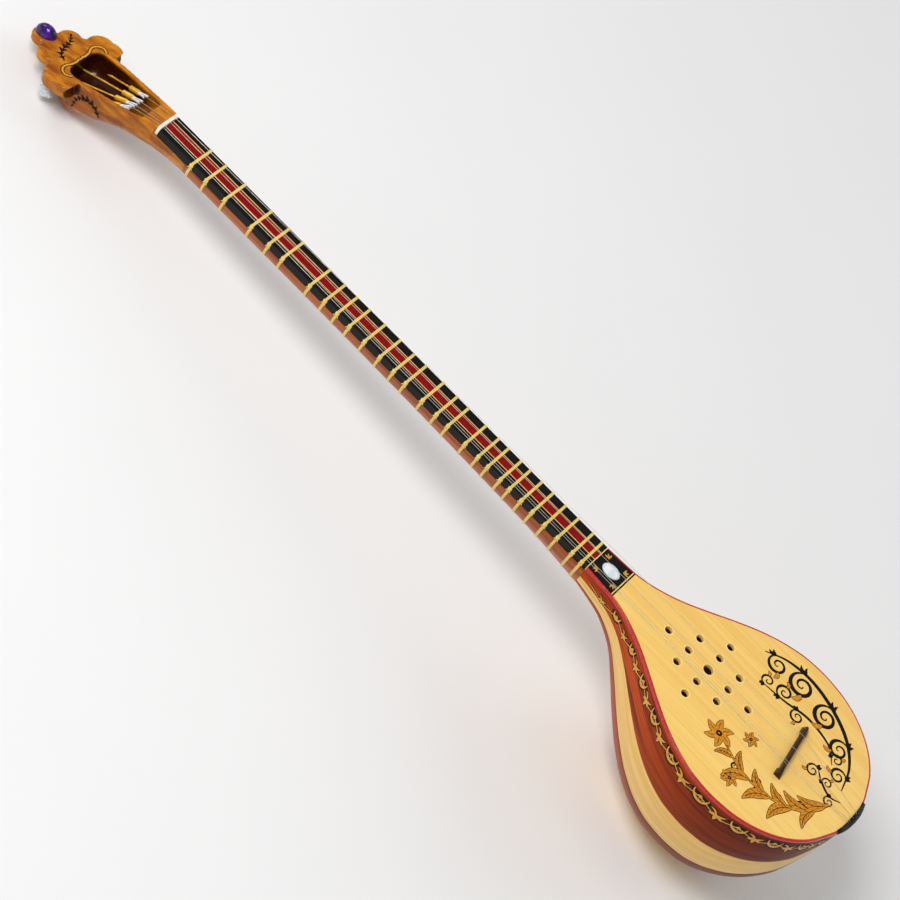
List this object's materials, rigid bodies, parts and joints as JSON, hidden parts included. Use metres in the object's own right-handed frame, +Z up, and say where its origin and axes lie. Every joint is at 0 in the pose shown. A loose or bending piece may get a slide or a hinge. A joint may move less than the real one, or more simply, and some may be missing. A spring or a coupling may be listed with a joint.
{
  "type": "setar",
  "caption": "Long-necked lute with a staved bowl, tied gut frets, strings over a low bridge, and screw tuners under a lobed crown.",
  "frame": {"origin": "centre of the footprint, on the surface that the instrument lies on", "axes": "+Z up, +Y from the bowl towards the head, +X to the right seen from the bowl with the soundboard up"},
  "size_m": [0.1694, 0.847, 0.1558],
  "materials": {
    "brown_wood": "gloss lacquer",
    "pale_wood": "gloss lacquer",
    "soundboard_wood": "satin lacquer",
    "neck_wood": "gloss lacquer",
    "head_wood": "gloss lacquer",
    "black_wood": "gloss",
    "dark_wood": "satin",
    "red_binding": "gloss",
    "gut": "satin",
    "bone": "satin",
    "brass": "polished",
    "steel": "drawn wire",
    "violet_stone": "polished",
    "white_stone": "polished",
    "pearl": "marbled pearl"
  },
  "bodies": {
    "instrument": {"peg_box": "head_wood", "crown_stone": "violet_stone", "rib_1": "brown_wood", "rib_2": "pale_wood", "rib_3": "brown_wood", "rib_4": "pale_wood", "rib_5": "brown_wood", "rib_6": "pale_wood", "rib_7": "brown_wood", "rib_8": "pale_wood", "rib_9": "brown_wood", "soundboard": "soundboard_wood", "rim_binding": "red_binding", "tail_block": "neck_wood", "neck": "neck_wood", "fretboard": "black_wood", "nut": "bone", "tailpiece": "black_wood", "bridge": "dark_wood", "fret_01": "gut", "fret_02": "gut", "fret_03": "gut", "fret_04": "gut", "fret_05": "gut", "fret_06": "gut", "fret_07": "gut", "fret_08": "gut", "fret_09": "gut", "fret_10": "gut", "fret_11": "gut", "fret_12": "gut", "fret_13": "gut", "fret_14": "gut", "fret_15": "gut", "fret_16": "gut", "fret_17": "gut", "fret_18": "gut", "fret_19": "gut", "fret_20": "gut", "fret_21": "gut", "fret_22": "gut", "fret_23": "gut", "fret_24": "gut", "fret_25": "gut", "fret_26": "gut", "fret_27": "gut", "fret_28": "gut", "string_1": "steel", "string_2": "steel", "string_3": "steel", "string_4": "steel", "plate_stone": "white_stone"},
    "tuner_knob_1": {"tuner_knob_1": "pearl"},
    "tuner_barrel_1": {"tuner_barrel_1": "brass"},
    "tuner_knob_2": {"tuner_knob_2": "pearl"},
    "tuner_barrel_2": {"tuner_barrel_2": "brass"},
    "tuner_knob_3": {"tuner_knob_3": "pearl"},
    "tuner_barrel_3": {"tuner_barrel_3": "brass"},
    "tuner_knob_4": {"tuner_knob_4": "pearl"},
    "tuner_barrel_4": {"tuner_barrel_4": "brass"}
  },
  "joints": [
    {"name": "tuner_knob_1_turn", "type": "hinge", "parent": "instrument", "child": "tuner_knob_1", "pos_m": [-0.0126, 0.33741, 0.04617], "axis": [-0.2178, 0.7704, -0.5993], "range_deg": [-1543, 1543]},
    {"name": "tuner_barrel_1_slide", "type": "slide", "parent": "instrument", "child": "tuner_barrel_1", "axis": [-0.2178, 0.7704, -0.5993], "range_m": [-0.003, 0.003]},
    {"name": "tuner_knob_2_turn", "type": "hinge", "parent": "instrument", "child": "tuner_knob_2", "pos_m": [-0.0042, 0.33741, 0.04617], "axis": [-0.075, 0.8459, -0.528], "range_deg": [-1543, 1543]},
    {"name": "tuner_barrel_2_slide", "type": "slide", "parent": "instrument", "child": "tuner_barrel_2", "axis": [-0.075, 0.8459, -0.528], "range_m": [-0.003, 0.003]},
    {"name": "tuner_knob_3_turn", "type": "hinge", "parent": "instrument", "child": "tuner_knob_3", "pos_m": [0.0042, 0.33741, 0.04617], "axis": [0.075, 0.8459, -0.528], "range_deg": [-1543, 1543]},
    {"name": "tuner_barrel_3_slide", "type": "slide", "parent": "instrument", "child": "tuner_barrel_3", "axis": [0.075, 0.8459, -0.528], "range_m": [-0.003, 0.003]},
    {"name": "tuner_knob_4_turn", "type": "hinge", "parent": "instrument", "child": "tuner_knob_4", "pos_m": [0.0126, 0.33741, 0.04617], "axis": [0.2178, 0.7704, -0.5993], "range_deg": [-1543, 1543]},
    {"name": "tuner_barrel_4_slide", "type": "slide", "parent": "instrument", "child": "tuner_barrel_4", "axis": [0.2178, 0.7704, -0.5993], "range_m": [-0.003, 0.003]}
  ],
  "couplings": [
    {"joint": "tuner_knob_1_turn", "follows": "tuner_barrel_1_slide", "rad_per_m": 8976},
    {"joint": "tuner_knob_2_turn", "follows": "tuner_barrel_2_slide", "rad_per_m": 8976},
    {"joint": "tuner_knob_3_turn", "follows": "tuner_barrel_3_slide", "rad_per_m": 8976},
    {"joint": "tuner_knob_4_turn", "follows": "tuner_barrel_4_slide", "rad_per_m": 8976}
  ]
}
